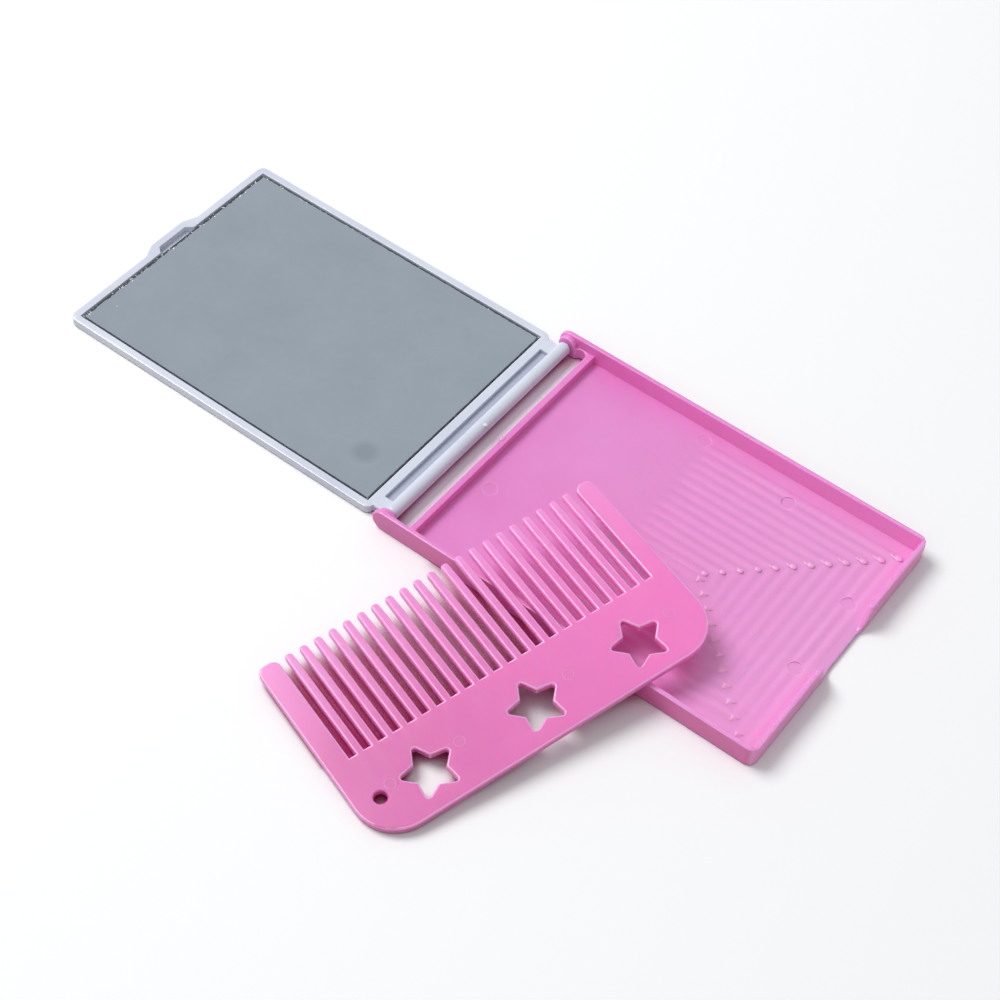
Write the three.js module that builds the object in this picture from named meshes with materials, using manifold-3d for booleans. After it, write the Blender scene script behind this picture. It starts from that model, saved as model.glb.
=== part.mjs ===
// Pocket mirror comb: a flat case whose lid holds a mirror, lying open, with its loose comb leaning
// over the tray's near wall. Lengths are in millimetres and angles in degrees, with +Z up.
//
// Everything is laid out from the foot of the hinge axis: X runs from the hinge towards the tray's
// front wall, Y runs along the hinge towards the far wall, and the lid lies along -X. The outermost
// group then moves the origin to the middle of the tray's underside.

import * as THREE from 'three';
import { mergeVertices } from 'three/addons/utils/BufferGeometryUtils.js';
import Module from 'manifold-3d';

const wasm = await Module();
wasm.setup();

// Driving dimensions

const tray = {
  width: 60,
  reach: 81.4,
  height: 4.8,
  wall: 0.95,
  floor: 0.8,
  frontCornerRadius: 1.8,
  rearWallFromAxis: 4.7,
  rearWallThickness: 1.35,
  rearWallHeight: 2.6,
  slotEndLip: 0.25,
};

const hinge = {
  bossRadius: 2,
  bossHeight: 1.05,
  pinRadius: 0.6,
  pinLength: 1.05,
  pinClearance: 0.1,
  pinEndClearance: 0.25,
  barRadius: 1.4,
  barEndFillet: 0.8,
  barEndClearance: 0.25,
};

const lid = {
  sideClearance: 0.25,
  frontClearance: 0.25,
  plate: 0.55,
  rimHeight: 1.9,
  rimWidth: 1.6,
  cornerRadius: 1.5,
  sideEndFromAxis: 4.1,
  pocketFromAxis: 5.6,
  channelFromAxis: 3.74,
  channelFloor: 0.95,
  blockLength: 3,
  blockInset: 0.3,
  heelRadius: 1,
};

// The thumb tab on the lid's rim, and the notch in the tray's front wall that it closes into
const thumbCatch = {
  offset: 0.8,
  tabReach: 1.4,
  tabRootHalfWidth: 7.7,
  tabTopHalfWidth: 4.5,
  tabFillet: 1,
  recessRootHalfWidth: 5,
  recessTopHalfWidth: 3.8,
  notchTopHalfWidth: 8.8,
  notchFootHalfWidth: 6,
  notchFillet: 1.4,
  scoopDepth: 0.4,
  scoopOuterHalfWidth: 7.2,
  scoopInnerHalfWidth: 4.6,
};

const mirror = {
  glass: 0.9,
  edgeGap: 0.3,
  tape: 0.2,
  tapeWidth: 12,
  tapeEndGap: 5.5,
  tapeSideGap: 6,
};

// Nested U-shaped waves on the tray's floor, open towards the hinge
const waves = {
  pitch: 2.37,
  height: 0.22,
  firstCrest: 0.8,
  centreOffset: -1.5,
  frontMargin: 1,
  armEndFromAxis: 35,
  fadeLength: 2.5,
  rootDepth: 0.3,
};
const waveCount = 12;
const stepsPerWave = 6;

const trayMark = {
  radius: 1.45,
  depth: 0.1,
};

// Places of the round ejector marks along the tray's inside, and across it from the middle
const trayMarkShares = [
  [0.05, -0.34],
  [0.38, 0.9],
  [0.66, 0.81],
  [0.945, -0.27],
  [0.945, 0.36],
];

const comb = {
  thickness: 1.6,
  pitch: 2.97,
  slotWidth: 1.26,
  toothLength: 23.5,
  toothTipTaper: 4,
  toothTipWidth: 1.5,
  toothTipThickness: 1.45,
  toothRoot: 0.5,
  guardTipWidth: 3.95,
  guardFlare: 0.4,
  guardTipRadius: 1.5,
  spineDepth: 16.85,
  cornerRadius: 8,
  rowOffset: 0.22,
  edgeBevel: 0.2,
  starSpacing: 22,
  starFromSlots: 4.05,
  starFromEdge: 2.65,
  starInnerShare: 0.52,
  starTipFillet: 0.5,
  holeRadius: 1.25,
  holeFromEnd: 4.9,
  holeDepthShare: 0.543,
  markRadius: 1,
  markDepth: 0.1,
  markRowShare: 0.475,
};
const starTips = 5;
const toothCount = 21;
const starCount = 3;

// Places of the comb's ejector marks from its middle, along half its length
const combMarkShares = [-0.797, -0.41, 0.218, 0.825];

// Where the comb lies: turned on the table about the middle of its slots' ends, then leaned on the
// tray's near wall until its lowest corner meets the table
const combPlace = {
  turn: 72,
  fromHinge: 37.5,
  beyondWall: 12.6,
  restGap: 0.2,
};

// How far a cutting shape runs past what it cuts
const overrun = 1;

// How far a chord may fall short of the round that it stands for
const arcTolerance = 0.02;
const arcSteps = 6;
const roundSteps = 32;
const smallRoundSteps = 20;

// Sizes worked out from the driving ones

const halfWidth = tray.width / 2;
const innerHalfWidth = halfWidth - tray.wall;
const innerFront = tray.reach - tray.wall;
const rearWallInner = tray.rearWallFromAxis + tray.rearWallThickness;
const axisHeight = tray.height / 2;
const bossFace = innerHalfWidth - hinge.bossHeight;
const barEnd = bossFace - hinge.barEndClearance;
const pinTip = bossFace + hinge.pinLength;
const pinHoleEnd = pinTip + hinge.pinEndClearance;

const lidHalfWidth = innerHalfWidth - lid.sideClearance;
const lidEnd = innerFront - lid.frontClearance;
const pocketHalfWidth = lidHalfWidth - lid.rimWidth;
const pocketEnd = lidEnd - lid.rimWidth;
const blockHalfWidth = barEnd - lid.blockInset;
const channelHalfWidth = blockHalfWidth - lid.blockLength;
const barSide = Math.sqrt(hinge.barRadius ** 2 - (axisHeight - lid.rimHeight) ** 2);

const waveSpan = waves.firstCrest + (waveCount - 0.5) * waves.pitch;

const toothWidth = comb.pitch - comb.slotWidth;
const guardInner = (toothCount * comb.pitch + comb.slotWidth) / 2;
const combTipHalf = guardInner + comb.guardTipWidth;
const combSpineHalf = combTipHalf + comb.guardFlare;
const starHeight = comb.spineDepth - comb.starFromSlots - comb.starFromEdge;
const starTipRadius = starHeight / (1 + Math.cos(Math.PI / starTips));

// Mesh helpers

const xAxis = new THREE.Vector3(1, 0, 0);
const yAxis = new THREE.Vector3(0, 1, 0);
const zAxis = new THREE.Vector3(0, 0, 1);

function toSolid(geometry) {
  const bare = geometry.clone();
  bare.deleteAttribute('normal');
  bare.deleteAttribute('uv');
  const merged = mergeVertices(bare);
  const corners = merged.index.array;
  const kept = [];
  for (let i = 0; i < corners.length; i += 3) {
    const [a, b, c] = corners.slice(i, i + 3);
    if (a !== b && b !== c && c !== a) {
      kept.push(a, b, c);
    }
  }
  return new wasm.Manifold(new wasm.Mesh({
    numProp: 3,
    vertProperties: merged.attributes.position.array,
    triVerts: new Uint32Array(kept),
  }));
}

function toGeometry(solid) {
  const mesh = solid.getMesh();
  const geometry = new THREE.BufferGeometry();
  geometry.setAttribute('position', new THREE.BufferAttribute(mesh.vertProperties, 3));
  geometry.setIndex(new THREE.BufferAttribute(mesh.triVerts, 1));
  geometry.computeVertexNormals();
  return geometry;
}

function joined(solids) {
  return solids.reduce((all, solid) => all.add(solid));
}

function extruded(shape, length) {
  return new THREE.ExtrudeGeometry(shape, {
    depth: length,
    bevelEnabled: false,
    curveSegments: arcSteps,
  });
}

// A plan outline in X and Y, raised between two heights
function raised(shape, low, high) {
  const geometry = extruded(shape, high - low);
  geometry.translate(0, 0, low);
  return toSolid(geometry);
}

// A profile in X and Z, run along Y between two places
function runAlongY(shape, near, far) {
  const geometry = extruded(shape, far - near);
  geometry.applyMatrix4(new THREE.Matrix4().makeBasis(xAxis, zAxis, yAxis.clone().negate()));
  geometry.translate(0, far, 0);
  return toSolid(geometry);
}

// A profile in Y and Z, run along X between two places
function runAlongX(shape, rear, front) {
  const geometry = extruded(shape, front - rear);
  geometry.applyMatrix4(new THREE.Matrix4().makeBasis(yAxis, zAxis, xAxis));
  geometry.translate(rear, 0, 0);
  return toSolid(geometry);
}

// A box between its lowest and its highest corner
function block(low, high) {
  const [length, width, height] = high.map((value, i) => value - low[i]);
  const geometry = new THREE.BoxGeometry(length, width, height);
  geometry.translate(...high.map((value, i) => (value + low[i]) / 2));
  return toSolid(geometry);
}

// An upright disc between two heights
function disc(radius, low, high, x, y) {
  const geometry = new THREE.CylinderGeometry(radius, radius, high - low, smallRoundSteps);
  geometry.rotateX(Math.PI / 2);
  geometry.translate(x, y, (low + high) / 2);
  return toSolid(geometry);
}

// A rod on the hinge axis, between two places along Y
function axisRod(radius, near, far, steps) {
  const geometry = new THREE.CylinderGeometry(radius, radius, far - near, steps);
  geometry.translate(0, (near + far) / 2, axisHeight);
  return toSolid(geometry);
}

// A closed body through rings of points, each ring with as many points as the next
function loft(rings) {
  const sides = rings[0].length;
  const faces = [];
  for (let ring = 0; ring < rings.length - 1; ring += 1) {
    for (let side = 0; side < sides; side += 1) {
      const a = ring * sides + side;
      const b = ring * sides + (side + 1) % sides;
      faces.push(a, a + sides, b, b, a + sides, b + sides);
    }
  }
  const last = (rings.length - 1) * sides;
  for (let side = 1; side < sides - 1; side += 1) {
    faces.push(0, side, side + 1);
    faces.push(last, last + side + 1, last + side);
  }
  const geometry = new THREE.BufferGeometry();
  geometry.setAttribute('position', new THREE.Float32BufferAttribute(rings.flat(2), 3));
  geometry.setIndex(faces);
  return toSolid(geometry);
}

// An outline through the corners given as [x, y, fillet], each rounded off by its own fillet
function filletedOutline(corners) {
  return new THREE.Shape(corners.flatMap((corner, i) => {
    const [x, y, fillet = 0] = corner;
    if (fillet > 0) {
      return filletPoints(corners.at(i - 1), corner, corners[(i + 1) % corners.length]);
    }
    return [new THREE.Vector2(x, y)];
  }));
}

// A round of the corner's fillet, about a centre on the line that halves the corner
function filletPoints(before, [x, y, fillet], after) {
  const back = new THREE.Vector2(before[0] - x, before[1] - y).normalize();
  const ahead = new THREE.Vector2(after[0] - x, after[1] - y).normalize();
  const halfBend = Math.acos(back.dot(ahead)) / 2;
  const centre = back.clone().add(ahead).setLength(fillet / Math.sin(halfBend));
  const start = back.clone().setLength(fillet / Math.tan(halfBend));
  const startAngle = start.sub(centre).angle();
  const turnsLeft = back.cross(ahead) < 0;
  const sweep = Math.PI - 2 * halfBend;
  const endAngle = startAngle + (turnsLeft ? sweep : -sweep);
  const middle = centre.add(new THREE.Vector2(x, y));
  const steps = Math.ceil(sweep / Math.acos(1 - arcTolerance / fillet) / 2);
  return new THREE.EllipseCurve(
    middle.x, middle.y, fillet, fillet, startAngle, endAngle, !turnsLeft,
  ).getPoints(steps);
}

// Case tray

function trayPlan() {
  return filletedOutline([
    [-axisHeight, -halfWidth],
    [tray.reach, -halfWidth, tray.frontCornerRadius],
    [tray.reach, halfWidth, tray.frontCornerRadius],
    [-axisHeight, halfWidth],
  ]);
}

// The side view: the ears end in a half round about the hinge axis
function traySideView() {
  const shape = new THREE.Shape();
  shape.absarc(0, axisHeight, axisHeight, Math.PI / 2, Math.PI * 1.5, false);
  shape.lineTo(tray.reach + overrun, 0);
  shape.lineTo(tray.reach + overrun, tray.height);
  shape.closePath();
  return shape;
}

function trayCavity() {
  return block(
    [rearWallInner, -innerHalfWidth, tray.floor],
    [innerFront, innerHalfWidth, tray.height + overrun],
  );
}

// What is open above the low rear wall, and behind the axis between the ears
function earSpaces() {
  const aboveRearWall = block(
    [-axisHeight - overrun, -innerHalfWidth, tray.rearWallHeight],
    [rearWallInner + overrun, innerHalfWidth, tray.height + overrun],
  );
  const behindAxis = block(
    [-axisHeight - overrun, -innerHalfWidth, -overrun],
    [0, innerHalfWidth, tray.height + overrun],
  );
  return aboveRearWall.add(behindAxis);
}

// The open slot between the hinge bar and the rear wall, with a round end beside each boss
function hingeSlot() {
  const endRadius = (tray.rearWallFromAxis - hinge.bossRadius) / 2;
  const middle = hinge.bossRadius + endRadius;
  const endCentre = innerHalfWidth - tray.slotEndLip - endRadius;
  const shape = new THREE.Shape();
  shape.absarc(middle, endCentre, endRadius, 0, Math.PI, false);
  shape.absarc(middle, -endCentre, endRadius, Math.PI, Math.PI * 2, false);
  const barSpace = block(
    [-axisHeight - overrun, -bossFace, -overrun],
    [middle, bossFace, tray.height + overrun],
  );
  return raised(shape, -overrun, tray.height + overrun).add(barSpace);
}

// The finger notch in the front wall, and the scoop in the outer face below it
function fingerNotch() {
  const { offset, notchTopHalfWidth, notchFootHalfWidth, notchFillet } = thumbCatch;
  const wallCut = filletedOutline([
    [offset - notchFootHalfWidth, tray.floor, notchFillet],
    [offset + notchFootHalfWidth, tray.floor, notchFillet],
    [offset + notchTopHalfWidth, tray.height],
    [offset + notchTopHalfWidth, tray.height + overrun],
    [offset - notchTopHalfWidth, tray.height + overrun],
    [offset - notchTopHalfWidth, tray.height],
  ]);
  const { scoopDepth, scoopOuterHalfWidth, scoopInnerHalfWidth } = thumbCatch;
  const scoop = filletedOutline([
    [tray.reach - scoopDepth, offset - scoopInnerHalfWidth],
    [tray.reach, offset - scoopOuterHalfWidth],
    [tray.reach + overrun, offset - scoopOuterHalfWidth],
    [tray.reach + overrun, offset + scoopOuterHalfWidth],
    [tray.reach, offset + scoopOuterHalfWidth],
    [tray.reach - scoopDepth, offset + scoopInnerHalfWidth],
  ]);
  return runAlongX(wallCut, innerFront - overrun, tray.reach + overrun)
    .add(raised(scoop, -overrun, tray.height));
}

// The height of the waves at a distance from the U's middle line
function waveHeight(distance) {
  const phase = (distance - waves.firstCrest) / waves.pitch;
  return waves.height * (1 + Math.cos(2 * Math.PI * phase)) / 2;
}

// The distances at which the waves are sampled, from the middle line to the last wave's foot
function waveSamples() {
  const step = waves.pitch / stepsPerWave;
  const samples = [];
  for (let distance = waveSpan; distance > step / 2; distance -= step) {
    samples.unshift(distance);
  }
  return [0, ...samples];
}

// The U's two arms and the front run between them, which meet at mitred corners
function ridgedFloor() {
  const { centreOffset, armEndFromAxis, fadeLength } = waves;
  const samples = waveSamples();
  const apex = innerFront - waves.frontMargin - waveSpan;
  const foot = tray.floor - waves.rootDepth;
  const across = [...samples.slice(1).reverse().map((distance) => -distance), ...samples];
  const arms = across.map((offset) => {
    const y = centreOffset + offset;
    const crest = tray.floor + waveHeight(Math.abs(offset));
    const cornerX = apex + Math.abs(offset);
    return [
      [armEndFromAxis, y, foot],
      [cornerX, y, foot],
      [cornerX, y, crest],
      [armEndFromAxis + fadeLength, y, crest],
      [armEndFromAxis, y, tray.floor],
    ];
  });
  const frontRun = samples.map((distance) => {
    const crest = tray.floor + waveHeight(distance);
    return [
      [apex + distance, centreOffset - distance, foot],
      [apex + distance, centreOffset - distance, crest],
      [apex + distance, centreOffset + distance, crest],
      [apex + distance, centreOffset + distance, foot],
    ];
  });
  const betweenWalls = block(
    [rearWallInner, -halfWidth + tray.wall / 2, 0],
    [tray.reach, halfWidth - tray.wall / 2, tray.height],
  );
  return loft(arms).add(loft(frontRun)).intersect(betweenWalls);
}

function trayMarks() {
  const length = innerFront - rearWallInner;
  return joined(trayMarkShares.map(([along, across]) => disc(
    trayMark.radius,
    tray.floor - trayMark.depth,
    tray.height,
    rearWallInner + along * length,
    across * innerHalfWidth,
  )));
}

// A round boss on the inner face of each ear, and the blind hole in it for the lid's pin
function bosses() {
  const length = hinge.bossHeight + tray.wall / 2;
  return joined([-1, 1].map((side) => {
    const middle = side * (bossFace + length / 2);
    return axisRod(hinge.bossRadius, middle - length / 2, middle + length / 2, roundSteps);
  }));
}

function pinHoles() {
  const length = pinHoleEnd - bossFace + overrun;
  return joined([-1, 1].map((side) => {
    const middle = side * (pinHoleEnd - length / 2);
    const radius = hinge.pinRadius + hinge.pinClearance;
    return axisRod(radius, middle - length / 2, middle + length / 2, smallRoundSteps);
  }));
}

function caseTray() {
  return raised(trayPlan(), 0, tray.height)
    .intersect(runAlongY(traySideView(), -halfWidth - overrun, halfWidth + overrun))
    .subtract(trayCavity())
    .subtract(earSpaces())
    .subtract(hingeSlot())
    .add(ridgedFloor())
    .subtract(trayMarks())
    .subtract(fingerNotch())
    .add(bosses())
    .subtract(pinHoles());
}

// Mirror frame, the lid

function lidPlan() {
  const { offset, tabReach, tabRootHalfWidth, tabTopHalfWidth, tabFillet } = thumbCatch;
  return filletedOutline([
    [-lid.sideEndFromAxis, -lidHalfWidth, lid.cornerRadius],
    [-lid.sideEndFromAxis, lidHalfWidth, lid.cornerRadius],
    [-lidEnd, lidHalfWidth, lid.cornerRadius],
    [-lidEnd, offset + tabRootHalfWidth, tabFillet],
    [-lidEnd - tabReach, offset + tabTopHalfWidth, tabFillet],
    [-lidEnd - tabReach, offset - tabTopHalfWidth, tabFillet],
    [-lidEnd, offset - tabRootHalfWidth, tabFillet],
    [-lidEnd, -lidHalfWidth, lid.cornerRadius],
  ]);
}

// The pocket that takes the glass, widened into a recess behind the thumb tab
function glassPocket() {
  const { offset, tabReach, recessRootHalfWidth, recessTopHalfWidth } = thumbCatch;
  return filletedOutline([
    [-lid.pocketFromAxis, -pocketHalfWidth],
    [-lid.pocketFromAxis, pocketHalfWidth],
    [-pocketEnd, pocketHalfWidth],
    [-pocketEnd, offset + recessRootHalfWidth],
    [-pocketEnd - tabReach, offset + recessTopHalfWidth],
    [-pocketEnd - tabReach, offset - recessTopHalfWidth],
    [-pocketEnd, offset - recessRootHalfWidth],
    [-pocketEnd, -pocketHalfWidth],
  ]);
}

// The side view of what joins the lid to its hinge bar, with a rounded heel under the bar
function heelSideView() {
  const joint = (lid.sideEndFromAxis + lid.pocketFromAxis) / 2;
  const shape = new THREE.Shape();
  shape.moveTo(-joint, lid.rimHeight);
  shape.lineTo(-joint, 0);
  shape.absarc(-lid.heelRadius, lid.heelRadius, lid.heelRadius, -Math.PI / 2, 0, false);
  shape.lineTo(0, axisHeight);
  shape.lineTo(-barSide, lid.rimHeight);
  shape.closePath();
  return shape;
}

// The recess beside the hinge bar
function fingerChannel() {
  return block(
    [-lid.channelFromAxis, -channelHalfWidth, lid.channelFloor],
    [-barSide, channelHalfWidth, lid.rimHeight + overrun],
  );
}

// The hinge bar, turned about the axis with rounded ends, and the stub pins beyond it
function hingeBar() {
  const { barRadius, barEndFillet } = hinge;
  const profile = new THREE.Path();
  profile.moveTo(0, -barEnd);
  profile.lineTo(barRadius - barEndFillet, -barEnd);
  profile.absarc(barRadius - barEndFillet, barEndFillet - barEnd, barEndFillet, -Math.PI / 2, 0, false);
  profile.absarc(barRadius - barEndFillet, barEnd - barEndFillet, barEndFillet, 0, Math.PI / 2, false);
  profile.lineTo(0, barEnd);
  const geometry = new THREE.LatheGeometry(profile.getPoints(arcSteps), roundSteps);
  geometry.translate(0, 0, axisHeight);
  return toSolid(geometry).add(axisRod(hinge.pinRadius, -pinTip, pinTip, smallRoundSteps));
}

function mirrorFrame() {
  return raised(lidPlan(), 0, lid.rimHeight)
    .subtract(raised(glassPocket(), lid.plate, lid.rimHeight + overrun))
    .add(runAlongY(heelSideView(), -blockHalfWidth, blockHalfWidth))
    .subtract(fingerChannel())
    .add(hingeBar());
}

// Mirror glass, and the tape strips that hold it

function mirrorGlass() {
  const foot = lid.plate + mirror.tape;
  return block(
    [mirror.edgeGap - pocketEnd, mirror.edgeGap - pocketHalfWidth, foot],
    [-lid.pocketFromAxis - mirror.edgeGap, pocketHalfWidth - mirror.edgeGap, foot + mirror.glass],
  );
}

function tapeStrip(side) {
  const outer = pocketHalfWidth - mirror.tapeSideGap;
  const middle = side * (outer - mirror.tapeWidth / 2);
  return block(
    [mirror.tapeEndGap - pocketEnd, middle - mirror.tapeWidth / 2, lid.plate],
    [
      -lid.pocketFromAxis - mirror.tapeEndGap,
      middle + mirror.tapeWidth / 2,
      lid.plate + mirror.tape,
    ],
  );
}

// Comb, drawn flat: X along the row of teeth from its middle, Y from the slots' ends to the tips

function combPlan() {
  const { spineDepth, toothLength, cornerRadius, guardTipRadius, rowOffset } = comb;
  const plan = filletedOutline([
    [-combSpineHalf - rowOffset, -spineDepth, cornerRadius],
    [combSpineHalf - rowOffset, -spineDepth, cornerRadius],
    [combTipHalf - rowOffset, toothLength, guardTipRadius],
    [guardInner, toothLength, guardTipRadius],
    [guardInner, 0],
    [-guardInner, 0],
    [-guardInner, toothLength, guardTipRadius],
    [-combTipHalf - rowOffset, toothLength, guardTipRadius],
  ]);
  for (let i = 0; i < starCount; i += 1) {
    plan.holes.push(starOutline((i - (starCount - 1) / 2) * comb.starSpacing));
  }
  const holeAlong = comb.holeFromEnd - combSpineHalf - rowOffset;
  const cordHole = new THREE.Path();
  const holeDepth = comb.holeDepthShare * spineDepth;
  cordHole.absarc(holeAlong, -holeDepth, comb.holeRadius, 0, Math.PI * 2, true);
  plan.holes.push(cordHole);
  return plan;
}

// A star with its tips rounded off, one of which points at the teeth
function starOutline(along) {
  const depth = comb.starFromSlots + starTipRadius;
  const corners = [];
  for (let i = 0; i < starTips * 2; i += 1) {
    const isTip = i % 2 === 0;
    const radius = isTip ? starTipRadius : starTipRadius * comb.starInnerShare;
    const angle = Math.PI / 2 - i * Math.PI / starTips;
    const x = along + radius * Math.cos(angle);
    const y = radius * Math.sin(angle) - depth;
    corners.push([x, y, isTip ? comb.starTipFillet : 0]);
  }
  return filletedOutline(corners);
}

// The plate with softened edges: its bevel grows outwards, so the outline is drawn in by as much
function combPlate() {
  const geometry = new THREE.ExtrudeGeometry(combPlan(), {
    depth: comb.thickness - 2 * comb.edgeBevel,
    bevelEnabled: true,
    bevelThickness: comb.edgeBevel,
    bevelSize: comb.edgeBevel,
    bevelOffset: -comb.edgeBevel,
    bevelSegments: 1,
    curveSegments: arcSteps,
  });
  geometry.translate(0, 0, comb.edgeBevel);
  return toSolid(geometry);
}

// A wedge off each face, which thins the guards towards their tips as the teeth are thinned
function guardWedge(side) {
  const { thickness, toothLength, toothTipThickness } = comb;
  const face = (1 + side) * thickness / 2;
  const tipFace = (thickness + side * toothTipThickness) / 2;
  const beyond = face + side * overrun;
  const shape = new THREE.Shape();
  shape.moveTo(0, face);
  shape.lineTo(toothLength, tipFace);
  shape.lineTo(toothLength + overrun, tipFace);
  shape.lineTo(toothLength + overrun, beyond);
  shape.lineTo(0, beyond);
  shape.closePath();
  return runAlongX(shape, -2 * combSpineHalf, 2 * combSpineHalf);
}

// Eight corners of a tooth's section, as shares of its half width and half thickness
const toothCornerShares = [
  [1, 0.6],
  [0.7, 1],
  [-0.7, 1],
  [-1, 0.6],
  [-1, -0.6],
  [-0.7, -1],
  [0.7, -1],
  [1, -0.6],
];

// Stations along the rounded nose of a tooth, as shares of the nose's length
const noseShares = [0, 0.5, 0.8, 0.97];

// The half width and half thickness of a tooth at a distance from the slots' ends
function toothSize(distance, noseStart) {
  const { thickness, toothLength, toothTipTaper, toothTipWidth, toothTipThickness } = comb;
  const along = THREE.MathUtils.clamp(distance / toothLength, 0, 1);
  const taper = THREE.MathUtils.clamp((distance - toothLength + toothTipTaper) / toothTipTaper, 0, 1);
  const intoNose = Math.max(0, distance - noseStart) / (toothLength - noseStart);
  const rounding = Math.sqrt(1 - intoNose ** 2) / 2;
  return [
    rounding * THREE.MathUtils.lerp(toothWidth, toothTipWidth, taper),
    rounding * THREE.MathUtils.lerp(thickness, toothTipThickness, along),
  ];
}

function tooth(along) {
  const { toothLength, toothTipTaper, toothTipWidth, toothRoot, thickness } = comb;
  const noseLength = toothTipWidth / 2;
  const noseStart = toothLength - noseLength;
  const nose = noseShares.map((share) => noseStart + share * noseLength);
  const stations = [-toothRoot, 0, toothLength - toothTipTaper, ...nose];
  return loft(stations.map((distance) => {
    const [halfAcross, halfUp] = toothSize(distance, noseStart);
    return toothCornerShares.map(([acrossShare, upShare]) => [
      along + acrossShare * halfAcross,
      distance,
      thickness / 2 + upShare * halfUp,
    ]);
  }));
}

function teeth() {
  const middle = (toothCount - 1) / 2;
  return joined(Array.from({ length: toothCount }, (_, i) => tooth((i - middle) * comb.pitch)));
}

function combMarks() {
  return joined(combMarkShares.map((share) => disc(
    comb.markRadius,
    comb.thickness - comb.markDepth,
    comb.thickness + overrun,
    share * combSpineHalf,
    -comb.markRowShare * comb.spineDepth,
  )));
}

function combBody() {
  return combPlate()
    .subtract(guardWedge(1))
    .subtract(guardWedge(-1))
    .subtract(combMarks())
    .add(teeth());
}

// The comb's lean on the wall, from how far its lowest corner lies beyond the wall's outer face
function combLean() {
  const turn = THREE.MathUtils.degToRad(combPlace.turn);
  const outline = combPlan().getPoints(arcSteps);
  const reaches = outline.map(({ x, y }) => combPlace.beyondWall - x * Math.sin(turn) - y * Math.cos(turn));
  return Math.asin(tray.height / (Math.max(...reaches) - comb.edgeBevel));
}

// Assembly

function plastic(colour, roughness) {
  return new THREE.MeshStandardMaterial({ color: colour, roughness, metalness: 0 });
}

function piece(name, solid, material) {
  const mesh = new THREE.Mesh(toGeometry(solid), material);
  mesh.name = name;
  return mesh;
}

function openLid() {
  const silvered = new THREE.MeshStandardMaterial({ color: 0x9aa6ae, roughness: 0.05, metalness: 1 });
  const group = new THREE.Group();
  group.add(
    piece('mirror_frame', mirrorFrame(), plastic(0xdcdeec, 0.35)),
    piece('mirror_glass', mirrorGlass(), silvered),
    piece('tape_strip_near', tapeStrip(-1), plastic(0xe8e4d8, 0.8)),
    piece('tape_strip_far', tapeStrip(1), plastic(0xe8e4d8, 0.8)),
  );
  return group;
}

function leaningComb() {
  const turned = new THREE.Group();
  turned.position.set(combPlace.fromHinge, -combPlace.beyondWall, 0);
  turned.rotation.z = THREE.MathUtils.degToRad(combPlace.turn);
  turned.add(piece('comb', combBody(), plastic(0xf284c4, 0.4)));
  const leaned = new THREE.Group();
  leaned.position.set(0, -halfWidth, tray.height + combPlace.restGap);
  leaned.rotation.x = combLean();
  leaned.add(turned);
  return leaned;
}

const pocketMirrorComb = new THREE.Group();
pocketMirrorComb.position.x = (axisHeight - tray.reach) / 2;
pocketMirrorComb.add(piece('case_tray', caseTray(), plastic(0xdf6fb4, 0.4)));
pocketMirrorComb.add(openLid());
pocketMirrorComb.add(leaningComb());

export default pocketMirrorComb;
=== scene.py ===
"""Looks of the pocket mirror comb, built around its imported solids.

Lengths are in metres, but the pieces' meshes are worked out in millimetres.
"""

import math
import random
from typing import NamedTuple

import bmesh
import bpy
from mathutils import Matrix, Vector


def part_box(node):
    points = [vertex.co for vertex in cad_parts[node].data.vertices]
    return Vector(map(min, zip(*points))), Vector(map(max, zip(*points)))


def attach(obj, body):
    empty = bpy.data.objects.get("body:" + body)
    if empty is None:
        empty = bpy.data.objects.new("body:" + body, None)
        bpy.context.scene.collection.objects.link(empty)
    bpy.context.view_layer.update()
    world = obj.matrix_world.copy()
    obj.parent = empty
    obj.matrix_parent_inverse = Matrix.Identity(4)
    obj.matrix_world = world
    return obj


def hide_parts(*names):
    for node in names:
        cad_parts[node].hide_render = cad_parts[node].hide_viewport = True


MM = 0.001
WHITE = (1, 1, 1, 1)

# Directions across the table: along the comb from the end with its cord hole, and along its teeth
COMB_TURN = math.radians(72)
TOOTH_TURN = math.radians(162)
ALONG_COMB = (math.cos(COMB_TURN), math.sin(COMB_TURN), 0)
ALONG_TEETH = (math.cos(TOOTH_TURN), math.sin(TOOTH_TURN), 0)

# Noise in the materials, in cells per metre
CLOUD_SCALE = 45
SKIN_SCALE = 2600
SCUFF_SCALE = 420
HAZE_SCALE = 60
CHIP_SCALE = 900
FACET_SCALE = 2400
FIBRE_SCALE = 1800
TABLE_SCALE = 300

# The skin's share in a moulding's fine relief, beside the scuffs
SKIN_SHARE = 0.35

# Widths of the rounded edges, in millimetres
TRAY_ROUNDING = 0.22
LID_ROUNDING = 0.2
COMB_ROUNDING = 0.12

# Turns between two faces: what is rounded off, what keeps a crisp shade, and what counts as flat
ROUNDED_ABOVE = math.radians(33)
CRISP_ABOVE = math.radians(40)
FLAT_BELOW = math.radians(0.5)

# Distances below which corners count as one, in millimetres
SAME_CORNER = 0.002
SAME_FILLED_CORNER = 0.01
NO_LENGTH = 0.001

# The place of the rounded edges' material, painted paler as a highlight, in a piece's list of
# materials
EDGE_MATERIAL_INDEX = 1

# Ejector marks, with their lengths in millimetres
TRAY_FLOOR_LEVEL = 0.8
TRAY_MARKS = [(-29.73, -9.88), (-5.18, 26.15), (15.65, 23.53), (36.86, -7.84), (36.86, 10.46)]
TRAY_MARK_RADIUS = 1.42
# The pale rings painted round the tray's marks as highlights on their edges
RIM_HIGHLIGHT_WIDTH = 0.12
RIM_HIGHLIGHT_STRENGTH = 0.36
COMB_MARK_DEPTH = 0.1
COMB_RING_THICKNESS = 0.07
LEAST_MARK_SPAN = 1.5
GREATEST_MARK_SPAN = 3.5

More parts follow.
